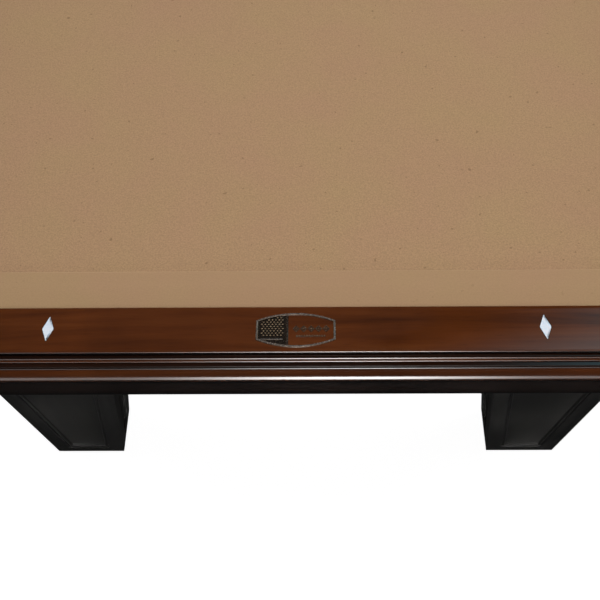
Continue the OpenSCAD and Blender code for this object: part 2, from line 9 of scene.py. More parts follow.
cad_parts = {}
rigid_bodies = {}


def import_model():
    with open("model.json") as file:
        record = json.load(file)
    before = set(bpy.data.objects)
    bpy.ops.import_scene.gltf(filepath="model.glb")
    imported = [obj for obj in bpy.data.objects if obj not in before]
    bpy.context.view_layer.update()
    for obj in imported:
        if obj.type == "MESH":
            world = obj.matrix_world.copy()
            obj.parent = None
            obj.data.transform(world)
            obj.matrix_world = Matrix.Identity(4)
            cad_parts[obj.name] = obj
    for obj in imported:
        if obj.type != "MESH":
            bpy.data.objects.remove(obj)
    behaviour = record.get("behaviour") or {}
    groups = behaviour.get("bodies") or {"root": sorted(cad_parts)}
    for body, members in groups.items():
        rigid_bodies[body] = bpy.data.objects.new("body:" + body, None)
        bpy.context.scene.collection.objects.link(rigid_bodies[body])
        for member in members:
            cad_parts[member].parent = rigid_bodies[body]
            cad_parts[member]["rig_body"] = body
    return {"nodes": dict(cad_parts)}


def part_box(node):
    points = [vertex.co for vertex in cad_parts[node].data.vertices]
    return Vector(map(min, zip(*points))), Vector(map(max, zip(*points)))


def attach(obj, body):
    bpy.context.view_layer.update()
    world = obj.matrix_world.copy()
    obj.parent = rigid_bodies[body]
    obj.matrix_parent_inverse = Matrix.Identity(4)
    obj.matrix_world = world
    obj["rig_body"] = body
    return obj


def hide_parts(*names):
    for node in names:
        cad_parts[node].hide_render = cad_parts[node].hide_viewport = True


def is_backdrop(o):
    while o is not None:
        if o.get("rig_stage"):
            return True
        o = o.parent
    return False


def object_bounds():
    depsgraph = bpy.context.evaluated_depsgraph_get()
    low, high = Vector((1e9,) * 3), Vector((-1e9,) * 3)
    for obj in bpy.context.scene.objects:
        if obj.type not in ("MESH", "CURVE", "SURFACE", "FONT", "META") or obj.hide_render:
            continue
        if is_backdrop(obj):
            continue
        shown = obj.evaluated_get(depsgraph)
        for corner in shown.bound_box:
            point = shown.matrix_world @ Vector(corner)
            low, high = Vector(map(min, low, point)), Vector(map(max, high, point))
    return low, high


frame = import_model()
cad_low, cad_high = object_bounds()
scene = bpy.context.scene
scene.view_settings.view_transform = "Standard"

MM = 0.001
BODY = "table"
ENDS = {"head": -1, "foot": 1}
SIDES = {"left": -1, "right": 1}

# ---------------------------------------------------------------- sizes in millimetres


def corner(node, which):
    """A corner of a CAD node's box in millimetres: which is 0 for the lowest, 1 for the highest."""
    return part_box(node)[which] / MM


rail_top = corner("rail_foot", 1).z
rail_low = corner("rail_foot", 0).z
out_y = corner("rail_foot", 1).y
half_w = corner("cushion_cloth_right_foot", 0).x
half_l = corner("cushion_cloth_foot", 0).y
cloth_top = corner("bed_cloth", 1).z
bed_h = corner("slate_head", 1).z
bed_out_x = corner("bed_cloth", 1).x
bed_out_y = corner("bed_cloth", 1).y
bag_low = corner("pocket_bag_left_side", 0).z
iron_top = corner("pocket_iron_left_side", 1).z
iron_low = corner("pocket_bag_left_side", 1).z
rail_d = rail_top - rail_low
pitch = half_w / 2

# The section and the ground plan of the rails, as the CAD has them: u runs outward from the nose
CUSHION_W = 55.5
SIGHT_U = 84
ARRIS_U = 115.5
FASCIA_U = 101
SUBRAIL_U = 36
RUBBER_LOW = -29
CORNER_TIP = 88
CORNER_C = 27
CORNER_R = 52
CORNER_K = 1 / math.tan(math.radians(38))
RIM_W = 8
RIM_U = 60
SHIELD_A = math.radians(12)
SIDE_TIP = 66.5
SIDE_K = 1 / math.tan(math.radians(76))
SIDE_GAP = 66
SIDE_C = 60
SIDE_R = 50
BAG_T = 3.5
BAG_GAP = 3
BAG_RIM = bed_h - 6
BAG_PANELS = 12
PLATE_W = 90
PLATE_H = 46
PLATE_BOW = 10
SIGHT_L = 34
SIGHT_W = 13.3
LEG_TAPER = 0.115
PAD_HOLE_R = 26
PAD_HOLE_H = 10.3
LEG_EASE = 2.2

# ---------------------------------------------------------------- materials


def add(tree, kind, inputs=(), **props):
    """Makes a shader node; inputs holds sockets to link or values to set."""
    made = tree.nodes.new("ShaderNode" + kind)
    for key, value in props.items():
        setattr(made, key, value)
    for key, value in dict(inputs).items():
        if isinstance(value, bpy.types.NodeSocket):
            tree.links.new(value, made.inputs[key])
        else:
            made.inputs[key].default_value = value
    return made


def rgb(red, green, blue):
    return (red, green, blue, 1)


def coords(tree, scale=(1, 1, 1), turn=(0, 0, 0)):
    """The piece's own coordinates in metres, scaled."""
    at = add(tree, "TexCoord").outputs["Object"]
    return add(tree, "Mapping", {"Vector": at, "Scale": scale, "Rotation": turn}).outputs[0]


def noise(tree, at, scale, detail=4, rough=0.55, distort=0.0):
    sockets = {"Vector": at, "Scale": scale, "Detail": detail, "Roughness": rough, "Distortion": distort}
    return add(tree, "TexNoise", sockets).outputs["Fac"]


def ramp(tree, fac, stops):
    made = add(tree, "ValToRGB", {"Fac": fac})
    points = made.color_ramp.elements
    while len(points) < len(stops):
        points.new(0.5)
    for point, (place, colour) in zip(points, stops):
        point.position = place
        point.color = colour
    return made.outputs["Color"]


def grey(value):
    return rgb(value, value, value)


def mix(tree, fac, first, second, blend="MIX"):
    made = tree.nodes.new("ShaderNodeMix")
    made.data_type = "RGBA"
    made.blend_type = blend
    for key, value in ((0, fac), (6, first), (7, second)):
        if isinstance(value, bpy.types.NodeSocket):
            tree.links.new(value, made.inputs[key])
        else:
            made.inputs[key].default_value = value
    return made.outputs[2]


def calc(tree, operation, first, second=0.0):
    return add(tree, "Math", {0: first, 1: second}, operation=operation).outputs[0]


def bump(tree, height, strength, depth, under=None):
    sockets = {"Height": height, "Strength": strength, "Distance": depth}
    if under is not None:
        sockets["Normal"] = under
    return add(tree, "Bump", sockets).outputs["Normal"]


def material(name, paint):
    """A new material whose Principled shader paint(tree) fills in, as a dict of sockets."""
    made = bpy.data.materials.new(name)
    made.use_nodes = True
    tree = made.node_tree
    tree.nodes.clear()
    shader = add(tree, "BsdfPrincipled", paint(tree))
    add(tree, "OutputMaterial", {"Surface": shader.outputs[0]})
    return made


GRAIN = {"x": (1, 14, 14), "y": (14, 1, 14), "z": (14, 14, 1)}

# Painted shade: the moulding's quirks and lower fascia are darkened by depth below the rail top, as shade
# would fall there, while the rounds keep full tone: (depth below the rail top in mm, tone)
SHADE_BANDS = [(0, 1.0), (1.2, 1.0), (1.8, 0.16), (6.1, 0.16), (6.7, 1.0), (10.6, 1.0), (11.2, 0.16),
         (16.6, 0.20), (17.3, 1.0), (24.5, 1.0), (29, 0.40), (36, 0.22), (64, 0.22)]


# Painted shade: a ramp by depth below the rail top that darkens the moulding's quirks and lower fascia
def painted_shade_bands(tree):
    depth = add(tree, "SeparateXYZ", {0: add(tree, "TexCoord").outputs["Object"]}).outputs["Z"]
    sockets = {"Value": depth, 1: rail_top * MM, 2: rail_low * MM, 3: 0.0, 4: 1.0}
    part = add(tree, "MapRange", sockets).outputs[0]
    return ramp(tree, part, [(mm / rail_d, grey(tone)) for mm, tone in SHADE_BANDS])


def lacquered_wood(name, along, deep, middle, light, coat=1.0, coat_rough=0.1, rough=0.42, shade_painted=False,
                   under_shine=0.06):
    """Stained hardwood under clear lacquer, with its grain along one axis."""
    def paint(tree):
        stretched = coords(tree, GRAIN[along])
        plain = coords(tree)
        figure = noise(tree, stretched, 3.2, 7, 0.62, 0.7)
        cloud = noise(tree, plain, 7.0, 3, 0.5, 0.4)
        pores = noise(tree, stretched, 46, 3, 0.6)
        stain = ramp(tree, figure, [(0.30, deep), (0.52, middle), (0.72, light)])
        blotch = ramp(tree, cloud, [(0.30, grey(0.66)), (0.70, grey(1.0))])
        stain = mix(tree, 1.0, stain, blotch, "MULTIPLY")
        flecks = ramp(tree, pores, [(0.26, grey(0.55)), (0.42, grey(1.0))])
        stain = mix(tree, 0.55, stain, flecks, "MULTIPLY")
        # Painted shade darkens the moulding's quirks and lower fascia
        if shade_painted:
            stain = mix(tree, 1.0, stain, painted_shade_bands(tree), "MULTIPLY")
        low = bump(tree, pores, 0.12, 0.0002)
        shine = ramp(tree, cloud, [(0.3, grey(rough - 0.05)), (0.7, grey(rough + 0.08))])
        return {
            "Base Color": stain, "Roughness": shine, "Normal": low, "Coat Weight": coat,
            "Coat Roughness": coat_rough, "Specular IOR Level": under_shine,
        }
    return material(name, paint)


def billiard_cloth(name, mottle, level):
    """Napped tan wool: short fibres, a mottled tone, stray specks and a soft sheen."""
    def paint(tree):
        plain = coords(tree)
        fibre = noise(tree, plain, 520, 3, 0.65)
        nap = noise(tree, plain, 1500, 2, 0.6)
        drift = noise(tree, plain, 9.0, 4, 0.55)
        low, high = 1 - 0.19 * mottle, 1 + 0.11 * mottle
        tone = ramp(tree, fibre, [(0.30, grey(low * level)), (0.68, grey(high * level))])
        base = ramp(tree, drift, [(0.30, rgb(0.372, 0.226, 0.131)), (0.70, rgb(0.366, 0.238, 0.126))])
        base = mix(tree, 1.0, base, tone, "MULTIPLY")
        speck = noise(tree, plain, 130, 1, 0.4)
        rare = ramp(tree, speck, [(0.755, grey(0.0)), (0.775, grey(1.0))])
        rare = calc(tree, "MULTIPLY", rare, 0.5 * mottle)
        base = mix(tree, rare, base, rgb(0.13, 0.07, 0.035))
        height = calc(tree, "ADD", calc(tree, "MULTIPLY", nap, 0.5), fibre)
        return {
            "Base Color": base, "Roughness": 0.95, "Sheen Weight": 0.12, "Sheen Roughness": 0.5,
            "Sheen Tint": rgb(0.95, 0.85, 0.72), "Specular IOR Level": 0.15,
            "Normal": bump(tree, height, 0.35 * mottle + 0.1, 0.0006),
        }
    return material(name, paint)


def aged_casting(name):
    """Cast pewter with dark wax left in its low places; its highest parts, the rim's crest and the long bar,
    are painted a lighter grey as a painted highlight.
    """
    def paint(tree):
        height = add(tree, "SeparateXYZ", {0: add(tree, "TexCoord").outputs["Object"]}).outputs["Z"]
        sockets = {"Value": height, 1: rail_top * MM, 2: (rail_top + 1.2) * MM, 3: 0.0, 4: 1.0}
        part = add(tree, "MapRange", sockets).outputs[0]
        pits = noise(tree, coords(tree), 700, 3, 0.6)
        # Tone by height: dark wax low down, bronze on the pyramids' tops, and a painted highlight in lighter
        # grey on the rim's crest and the long bar
        tone = ramp(tree, part, [(0.10, rgb(0.030, 0.021, 0.015)), (0.52, rgb(0.060, 0.043, 0.031)),
                                 (0.70, rgb(0.380, 0.260, 0.160)), (0.78, rgb(0.380, 0.260, 0.160)),
                                 (0.88, rgb(0.150, 0.130, 0.118)), (1.00, rgb(0.240, 0.215, 0.205))])
        tone = mix(tree, 1.0, tone, ramp(tree, pits, [(0.35, grey(0.55)), (0.65, grey(1.0))]), "MULTIPLY")
        shine = ramp(tree, pits, [(0.3, grey(0.20)), (0.7, grey(0.30))])
        return {
            "Base Color": tone, "Metallic": 0.6, "Roughness": shine,
            "Normal": bump(tree, pits, 0.15, 0.0002),
        }
    return material(name, paint)


def worn_metal(name, base, dark, rough, scale):
    """Metal with a worked surface: duller and darker in its pits, brighter where it is rubbed."""
    def paint(tree):
        pits = noise(tree, coords(tree), scale, 4, 0.6)
        wide = noise(tree, coords(tree), 24, 3, 0.5)
        tone = ramp(tree, pits, [(0.34, dark), (0.62, base)])
        shine = ramp(tree, wide, [(0.3, grey(rough)), (0.7, grey(rough + 0.16))])
        return {
            "Base Color": tone, "Metallic": 1.0, "Roughness": shine,
            "Normal": bump(tree, pits, 0.22, 0.0002),
        }
    return material(name, paint)


def pearl(name):
    """Mother-of-pearl inlay: cool white with slow clouds of pink and green."""
    def paint(tree):
        plain = coords(tree)
        cloud = noise(tree, plain, 160, 3, 0.5, 1.2)
        fine = noise(tree, plain, 700, 2, 0.5)
        tone = ramp(tree, cloud, [
            (0.30, rgb(0.52, 0.60, 0.70)), (0.5, rgb(0.60, 0.66, 0.73)), (0.70, rgb(0.66, 0.64, 0.69)),
        ])
        tone = mix(tree, 0.25, tone, ramp(tree, fine, [(0.3, grey(0.8)), (0.7, grey(1.0))]), "MULTIPLY")
        return {
            "Base Color": tone, "Roughness": 0.22, "Coat Weight": 0.6, "Coat Roughness": 0.08,
            "Normal": bump(tree, fine, 0.03, 0.0002),
        }
    return material(name, paint)


def leather(name, deep, light):
    """Grained dark leather with creases and paler rubbed spots."""
    def paint(tree):
        plain = coords(tree)
        cells = add(tree, "TexVoronoi", {"Vector": plain, "Scale": 620}, feature="DISTANCE_TO_EDGE")
        grain = ramp(tree, cells.outputs["Distance"], [(0.0, grey(0.0)), (0.16, grey(1.0))])
        rub = noise(tree, plain, 18, 4, 0.6)
        fold = noise(tree, plain, 46, 5, 0.6, 0.8)
        tone = ramp(tree, rub, [(0.32, deep), (0.70, light)])
        tone = mix(tree, 0.35, tone, grain, "MULTIPLY")
        shine = ramp(tree, rub, [(0.3, grey(0.58)), (0.7, grey(0.42))])
        under = bump(tree, fold, 0.18, 0.0012)
        return {
            "Base Color": tone, "Roughness": shine, "Specular IOR Level": 0.4,
            "Normal": bump(tree, grain, 0.3, 0.0003, under),
        }
    return material(name, paint)


def raw_wood(name, along, pale, dark):
    """Planed softwood with open growth rings, unfinished."""
    def paint(tree):
        stretched = coords(tree, GRAIN[along])
        rings = noise(tree, stretched, 4.0, 6, 0.6, 1.4)
        fine = noise(tree, stretched, 60, 3, 0.6)
        tone = ramp(tree, rings, [(0.34, pale), (0.50, dark), (0.56, pale), (0.70, dark)])
        tone = mix(tree, 0.4, tone, ramp(tree, fine, [(0.3, grey(0.75)), (0.6, grey(1.0))]), "MULTIPLY")
        return {
            "Base Color": tone, "Roughness": 0.72, "Specular IOR Level": 0.3,
            "Normal": bump(tree, fine, 0.25, 0.0004),
        }
    return material(name, paint)


def slate(name):
    """Honed slate: fine layers, faint veins and scattered mica."""
    def paint(tree):
        layers = noise(tree, coords(tree, (1, 1, 40)), 6, 6, 0.6, 0.5)
        cloud = noise(tree, coords(tree), 9, 5, 0.55, 0.6)
        fine = noise(tree, coords(tree), 900, 2, 0.6)
        tone = ramp(tree, cloud, [(0.32, rgb(0.050, 0.058, 0.066)), (0.70, rgb(0.105, 0.115, 0.125))])
        tone = mix(tree, 0.4, tone, ramp(tree, layers, [(0.35, grey(0.7)), (0.65, grey(1.0))]), "MULTIPLY")
        return {
            "Base Color": tone, "Roughness": 0.62, "Specular IOR Level": 0.4,
            "Normal": bump(tree, fine, 0.2, 0.0003),
        }
    return material(name, paint)


def rubber(name):
    def paint(tree):
        plain = coords(tree)
        dust = noise(tree, plain, 30, 4, 0.6)
        fine = noise(tree, plain, 900, 2, 0.5)
        return {
            "Base Color": ramp(tree, dust, [(0.3, grey(0.018)), (0.7, grey(0.040))]),
            "Roughness": 0.7, "Normal": bump(tree, fine, 0.15, 0.0002),
        }
    return material(name, paint)


def thread(name, tone):
    """Twisted waxed thread."""
    def paint(tree):
        twist = noise(tree, coords(tree), 2200, 2, 0.5)
        strands = ramp(tree, twist, [(0.3, grey(0.5)), (0.7, grey(1.0))])
        return {
            "Base Color": mix(tree, 0.5, tone, strands, "MULTIPLY"),
            "Roughness": 0.6, "Normal": bump(tree, twist, 0.3, 0.0002),
        }
    return material(name, paint)


def pale_floor(name):
    def paint(tree):
        drift = noise(tree, coords(tree), 1.5, 2, 0.5)
        return {
            "Base Color": ramp(tree, drift, [(0.3, grey(0.50)), (0.7, grey(0.52))]),
            "Roughness": 0.9, "Specular IOR Level": 0.0,
            "Emission Color": rgb(1, 1, 1), "Emission Strength": 0.96,
        }
    return material(name, paint)


WALNUT = (rgb(0.040, 0.0094, 0.0015), rgb(0.075, 0.0178, 0.0028), rgb(0.098, 0.0260, 0.0048))
EBONY = (rgb(0.0200, 0.0176, 0.0150), rgb(0.0270, 0.0240, 0.0205), rgb(0.0350, 0.0315, 0.0270))
PINE = (rgb(0.56, 0.39, 0.22), rgb(0.42, 0.26, 0.13))

# The rails' walnut gets painted shade in its moulding's quirks and lower fascia
walnut = {a: lacquered_wood("walnut_" + a, a, *WALNUT, shade_painted=True) for a in "xy"}
ebony = {
    a: lacquered_wood("ebony_" + a, a, *EBONY, coat=0.42, coat_rough=0.28, rough=0.5, under_shine=0.3)
    for a in "xyz"
}
pine = {a: raw_wood("pine_" + a, a, *PINE) for a in "xy"}
poplar = raw_wood("feather_wood", "y", rgb(0.42, 0.29, 0.17), rgb(0.33, 0.21, 0.11))
bed_wool = billiard_cloth("bed_wool", 1.0, 0.86)
# The cushions use the bed's wool painted darker, level 0.79 against 0.86: painted shade on the cushions
rail_wool = billiard_cloth("rail_wool", 0.35, 0.79)
pewter = aged_casting("antique_pewter")
steel = worn_metal("zinc_plate", rgb(0.36, 0.36, 0.37), rgb(0.24, 0.24, 0.25), 0.35, 140)
nacre = pearl("mother_of_pearl")
glue = rubber("dark_glue")
hide = leather("bag_hide", rgb(0.030, 0.0125, 0.0058), rgb(0.072, 0.0320, 0.0150))
gum = rubber("gum_rubber")
stone = slate("honed_slate")
waxed = thread("waxed_thread", rgb(0.30, 0.19, 0.10))

# ---------------------------------------------------------------- mesh helpers


def arc(cx, cy, radius, start, stop, steps):
    """Points of an arc round (cx, cy), with its angles in degrees."""
    turns = [math.radians(start + (stop - start) * i / steps) for i in range(steps + 1)]
    return [(cx + radius * math.cos(a), cy + radius * math.sin(a)) for a in turns]


def finish_mesh(mesh, sharp=35):
    mesh.validate()
    mesh.shade_smooth()
    mesh.set_sharp_from_angle(angle=math.radians(sharp))


def piece(name, verts, faces, mats, nodes=(), body=BODY, sharp=35, which=None):
    """A new object from points in millimetres. which gives each face's material number."""
    mesh = bpy.data.meshes.new(name)
    mesh.from_pydata([Vector(v) * MM for v in verts], [], faces)
    for mat in mats:
        mesh.materials.append(mat)
    if which:
        mesh.polygons.foreach_set("material_index", which)
    shape = bmesh.new()
    shape.from_mesh(mesh)
    bmesh.ops.remove_doubles(shape, verts=shape.verts, dist=1e-6)
    bmesh.ops.recalc_face_normals(shape, faces=shape.faces)
    shape.to_mesh(mesh)
    shape.free()
    finish_mesh(mesh, sharp)
    made = bpy.data.objects.new(name, mesh)
    scene.collection.objects.link(made)
    return settle(made, nodes, body)


def settle(made, nodes, body=BODY):
    """Attaches a piece to the body it rides on, and hides the CAD nodes that it replaces."""
    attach(made, body)
    if nodes:
        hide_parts(*nodes)
    return made


def strip(rings, closed):
    """Quads between neighbouring rings of points that have the same count."""
    count = len(rings[0])
    faces = []
    for r in range(len(rings) - 1):
        for i in range(count if closed else count - 1):
            j = (i + 1) % count
            faces.append((r * count + i, r * count + j, (r + 1) * count + j, (r + 1) * count + i))
    return faces


def fill(points):
    """Triangles over a flat outline of (x, y) points."""
    found = tessellate_polygon([[Vector((x, y, 0)) for x, y in points]])
    return [tuple(t) for t in found]


def softened(node, mat, bevel):
    """A copy of a CAD node with its edges eased, which stands for it."""
    source = frame["nodes"][node].data
    mesh = bpy.data.meshes.new(node + "_eased")
    shape = bmesh.new()
    shape.from_mesh(source)
    bmesh.ops.remove_doubles(shape, verts=shape.verts, dist=2e-6)
    flat = [e for e in shape.edges if len(e.link_faces) == 2 and e.calc_face_angle(1) < math.radians(0.3)]
    bmesh.ops.dissolve_edges(shape, edges=flat, use_verts=False, use_face_split=False)
    bmesh.ops.dissolve_limit(shape, angle_limit=math.radians(0.3), verts=shape.verts, edges=shape.edges)
    sharp = [e for e in shape.edges if len(e.link_faces) == 2 and e.calc_face_angle(0) > math.radians(40)]
    bmesh.ops.bevel(shape, geom=sharp, offset=bevel * MM, segments=3, profile=0.5, affect="EDGES",
                    clamp_overlap=True)
    shape.to_mesh(mesh)
    shape.free()
    mesh.materials.clear()
    mesh.materials.append(mat)
    finish_mesh(mesh)
    made = bpy.data.objects.new(node + "_eased", mesh)
    scene.collection.objects.link(made)
    return settle(made, [node], frame["nodes"][node]["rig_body"])


# ---------------------------------------------------------------- rails


def moulding():
    """Section of the rail's outer edge, from the top arris down to the lower edge."""
    a = ARRIS_U
    return (
        arc(a - 1.5, -1.5, 1.5, 90, 0, 8)
        + [(a, -6)]
        + arc(a + 2.6, -7.9, 2.4, 128, 0, 12)
        + arc(a + 4.75, -10.8, 2.2, 84, 0, 10)
        + [(a + 6.95, -11.5), (a + 11.6, -11.5)]
        + arc(a + 12.9, -16.2, 1.3, 180, 262, 8)
        + arc(a + 11.5, -27.5, 10, 82, -50, 36)
        + [(a + 16.5, -36.5), (a + 16.5, -41), (a + 19, -52), (a + 19, -61), (a + 17.5, -rail_d)]
    )


def rail_section():
    seat = cloth_top - rail_top
    return moulding() + [
        (FASCIA_U, -rail_d), (FASCIA_U, seat), (SUBRAIL_U, seat), (SUBRAIL_U, RUBBER_LOW),
        (31, -1.6), (52, -1.2), (52, -9.2), (CUSHION_W, -9.2), (CUSHION_W, -0.5), (CUSHION_W + 0.5, 0),
    ]


def corner_end(u):
    """Where a rail ends at a corner pocket, along the rail from the crossing of the nose lines."""
    if u < RIM_U:
        return -CORNER_TIP + u * CORNER_K
    ring = CORNER_R + RIM_W
    if u < CORNER_C + ring:
        return CORNER_C - math.sqrt(ring**2 - (u - CORNER_C) ** 2)
    return CORNER_C + (u - CORNER_C) * math.tan(SHIELD_A)


def side_end(u):
    """Where a side rail ends at a side pocket, along the rail from the pocket's middle."""
    return SIDE_TIP - u * SIDE_K if u < RIM_U else SIDE_GAP


def cut_finely(section):
    """Adds points to a section wherever the plan of a rail's end bends."""
    near = 0.01
    ring_end = CORNER_C + CORNER_R + RIM_W
    stops = [RIM_U - near, RIM_U + near, ring_end - near, ring_end + near]
    stops += [RIM_U + (ring_end - RIM_U) * i / 8 for i in range(1, 8)]
    out = []
    for (u0, v0), (u1, v1) in zip(section, section[1:] + section[:1]):
        out.append((u0, v0))
        between = [s for s in stops if min(u0, u1) < s < max(u0, u1)]
        for s in sorted(between, reverse=u1 < u0):
            t = (s - u0) / (u1 - u0)
            out.append((s, v0 + (v1 - v0) * t))
    return out


def place_side(sx, sy):
    return lambda u, t, v: (sx * (half_w + u), sy * t, rail_top + v)


def place_end(sy):
    return lambda u, t, v: (t, sy * (half_l + u), rail_top + v)


def rail_ends(kind):
    """Functions that give where a rail starts and stops along its length, at u."""
    if kind == "side":
        return side_end, lambda u: half_l + corner_end(u)
    return lambda u: -half_w - corner_end(u), lambda u: half_w + corner_end(u)


def make_rail(name, kind, place, mat):
    section = cut_finely(rail_section())
    start, stop = rail_ends(kind)
    rings = [[place(u, end(u), v) for u, v in section] for end in (start, stop)]
    count = len(section)
    faces = strip(rings, True)
    cap = fill(section)
    faces += cap + [tuple(i + count for i in reversed(t)) for t in cap]
    return piece(name + "_moulded", rings[0] + rings[1], faces, [mat], [name], sharp=50)


def each_rail():
    """Name ending, kind, place function and grain axis of each of the six rails."""
    for end, sy in ENDS.items():
        yield end, "end", place_end(sy), "x"
    for side, sx in SIDES.items():
        for end, sy in ENDS.items():
            yield side + "_" + end, "side", place_side(sx, sy), "y"


def wrap_path():
    """Section of the cushion cloth, from the feather strip over the nose to the sub-rail's foot."""
    return (
        [(55.5, -1.2), (55.2, -0.6), (54.4, -0.25), (50, -0.2), (42, -0.35), (31, -0.6)]
        + [(22, -1.75), (13, -2.95), (6, -3.9)]
        + arc(2.8, -7.15, 2.8, 98, 236, 10)
        + [(9, -14.3), (22, -22.1), (34.4, -29.7), (35, -31), (35, -40.5)]
    )


# Points of that section: the part that the end caps close
CAP_FROM, CAP_TO = 5, -2
CLOTH_STEPS = 24


def make_cushion_cloth(name, kind, place):
    path = wrap_path()
    start, stop = rail_ends(kind)
    steps = CLOTH_STEPS
    rings = []
    for i in range(steps + 1):
        t = i / steps
        rings.append([place(u, start(u) * (1 - t) + stop(u) * t, v) for u, v in path])
    verts = [v for ring in rings for v in ring]
    faces = strip(rings, False)
    cap = fill(path[CAP_FROM:CAP_TO])
    last = steps * len(path)
    faces += [tuple(i + CAP_FROM for i in t) for t in cap]
    faces += [tuple(i + CAP_FROM + last for i in reversed(t)) for t in cap]
    made = piece("rail_cloth_" + name, verts, faces, [rail_wool], ["cushion_cloth_" + name],
                 sharp=60)
    girth = sum(math.dist(a, b) for a, b in zip(path, path[1:])) * MM
    return made


for rail_name, rail_kind, rail_place, grain in each_rail():
    make_rail("rail_" + rail_name, rail_kind, rail_place, walnut[grain])
    make_cushion_cloth(rail_name, rail_kind, rail_place)

# ---------------------------------------------------------------- bed cloth


def quarter_outline():
    """Edge of the bed cloth in one quarter, as (x, y, pocket centre or None)."""
    side_r = SIDE_R + BAG_T + BAG_GAP
    corner_r = CORNER_R + BAG_T + BAG_GAP
    sc = (half_w + SIDE_C, 0)
    cc = (half_w + CORNER_C, half_l + CORNER_C)
    reach = cc[0] + cc[1]
    out = [(x, y, sc) for x, y in arc(*sc, side_r, 180, 90, 20)]
    out += [(bed_out_x, side_r, None), (bed_out_x, reach - bed_out_x, None)]
    out += [(x, y, cc) for x, y in arc(*cc, corner_r, -45, -225, 40)]
    return out + [(reach - bed_out_y, bed_out_y, None)]


def mirrored(points, sx, sy):
    turned = [(sx * x, sy * y, c and (sx * c[0], sy * c[1])) for x, y, c in points]
    return turned if sx * sy > 0 else turned[::-1]


def make_bed_cloth():
    """The cloth lies flat on the slate and is turned down into the six pockets."""
    quarter = quarter_outline()
    outline = []
    for sx, sy in ((1, 1), (-1, 1), (-1, -1), (1, -1)):
        outline += mirrored(quarter, sx, sy)
    kept = [p for i, p in enumerate(outline) if math.dist(p[:2], outline[i - 1][:2]) > 1e-6]
    verts = [(x, y, cloth_top) for x, y, _ in kept]
    faces = fill([p[:2] for p in kept])
    turns = [(0.35, 0.08), (0.8, 0.35), (1.1, 0.9), (1.2, 2.4), (1.2, 15.0)]
    below = {}
    for i, (x, y, centre) in enumerate(kept):
        if centre:
            toward = (Vector(centre) - Vector((x, y))).normalized()
            below[i] = [len(verts) + k for k in range(len(turns))]
            verts += [(x + toward.x * o, y + toward.y * o, cloth_top - d) for o, d in turns]
    for i in below:
        j = (i + 1) % len(kept)
        if j in below and kept[i][2] == kept[j][2]:
            here, there = [i] + below[i], [j] + below[j]
            faces += [(a, b, d, c) for a, b, c, d in zip(here, there, here[1:], there[1:])]
    made = piece("bed_cloth_laid", verts, faces, [bed_wool], ["bed_cloth"], sharp=70)
    return made


make_bed_cloth()

# ---------------------------------------------------------------- sights and nameplate


def diamond(half_long, half_wide):
    return [(half_long, 0), (0, half_wide), (-half_long, 0), (0, -half_wide)]


def lozenge(half_long, half_wide, tip):
    """Diamond outline whose points are rounded over a length of tip."""
    points = [Vector(p) for p in diamond(half_long, half_wide)]
    out = []
    for i, at in enumerate(points):
        before = at + (points[i - 1] - at).normalized() * tip
        after = at + (points[(i + 1) % 4] - at).normalized() * tip
        for k in range(5):
            t = k / 4
            out.append(tuple(before * (1 - t) ** 2 + at * 2 * t * (1 - t) + after * t**2))
    return out


def inset(loop, by):
    """A closed outline moved inward by a distance, with its corners mitred."""
    out = []
    for i, at in enumerate(loop):
        at = Vector(at)
        before, after = at - Vector(loop[i - 1]), Vector(loop[(i + 1) % len(loop)]) - at
        first, second = before.normalized(), after.normalized()
        inward = Vector((-first.y - second.y, first.x + second.x)).normalized()
        lean = max(inward.dot(Vector((-first.y, first.x))), 0.35)
        out.append(tuple(at + inward * by / lean))
    return out


class Build:
    """Collects points, faces and each face's material number."""

    def __init__(self):
        self.verts, self.faces, self.which = [], [], []

    def take(self, verts, faces, number=0):
        shift = len(self.verts)
        self.verts += verts
        self.faces += [tuple(i + shift for i in f) for f in faces]
        self.which += [number] * len(faces)

    def raised(self, loop, levels, at, number=0, capped=True):
        """Nested outlines, each (inset, height), closed by a flat top."""
        rings = [[at(x, y, h) for x, y in inset(loop, by)] for by, h in levels]
        self.take([v for ring in rings for v in ring], strip(rings, True), number)
        if capped:
            top = [at(x, y, levels[-1][1]) for x, y in inset(loop, levels[-1][0])]
            self.take(top, fill(inset(loop, levels[-1][0])), number)


def make_sights():
    build = Build()
    shape = lozenge(SIGHT_L / 2, SIGHT_W / 2, 1.6)
    spots = [
        (sx * (half_w + SIGHT_U), sy * i * pitch, 0) for sx in (-1, 1) for sy in (-1, 1) for i in (1, 2, 3)
    ]
    spots += [(i * pitch, -half_l - SIGHT_U, 90) for i in (-1, 1)]
    spots += [(i * pitch, half_l + SIGHT_U, 90) for i in (-1, 0, 1)]
    for cx, cy, turn in spots:
        cosine, sine = math.cos(math.radians(turn)), math.sin(math.radians(turn))

        def at(x, y, h):
            return (cx + x * cosine - y * sine, cy + x * sine + y * cosine, rail_top + h)

        build.raised(shape, [(-0.45, -0.2), (-0.40, 0.03), (0.1, 0.05), (0.25, 0.02)], at, 1, capped=False)
        build.raised(shape, [(0.2, -0.4), (0.22, 0.04), (0.5, 0.11), (1.4, 0.16)], at, 0)
    return piece("sights_inlaid", build.verts, build.faces, [nacre, glue], ["sights"],
                 which=build.which)


def barrel():
    """Outline of the nameplate: straight sides and bowed long edges."""
    half = PLATE_W / 2
    radius = (half**2 + PLATE_BOW**2) / (2 * PLATE_BOW)
    swing = math.degrees(math.asin(half / radius))
    middle = PLATE_H / 2 - radius
    upper = arc(0, middle, radius, 90 - swing, 90 + swing, 32)
    lower = arc(0, -middle, radius, 270 - swing, 270 + swing, 32)
    return upper + lower


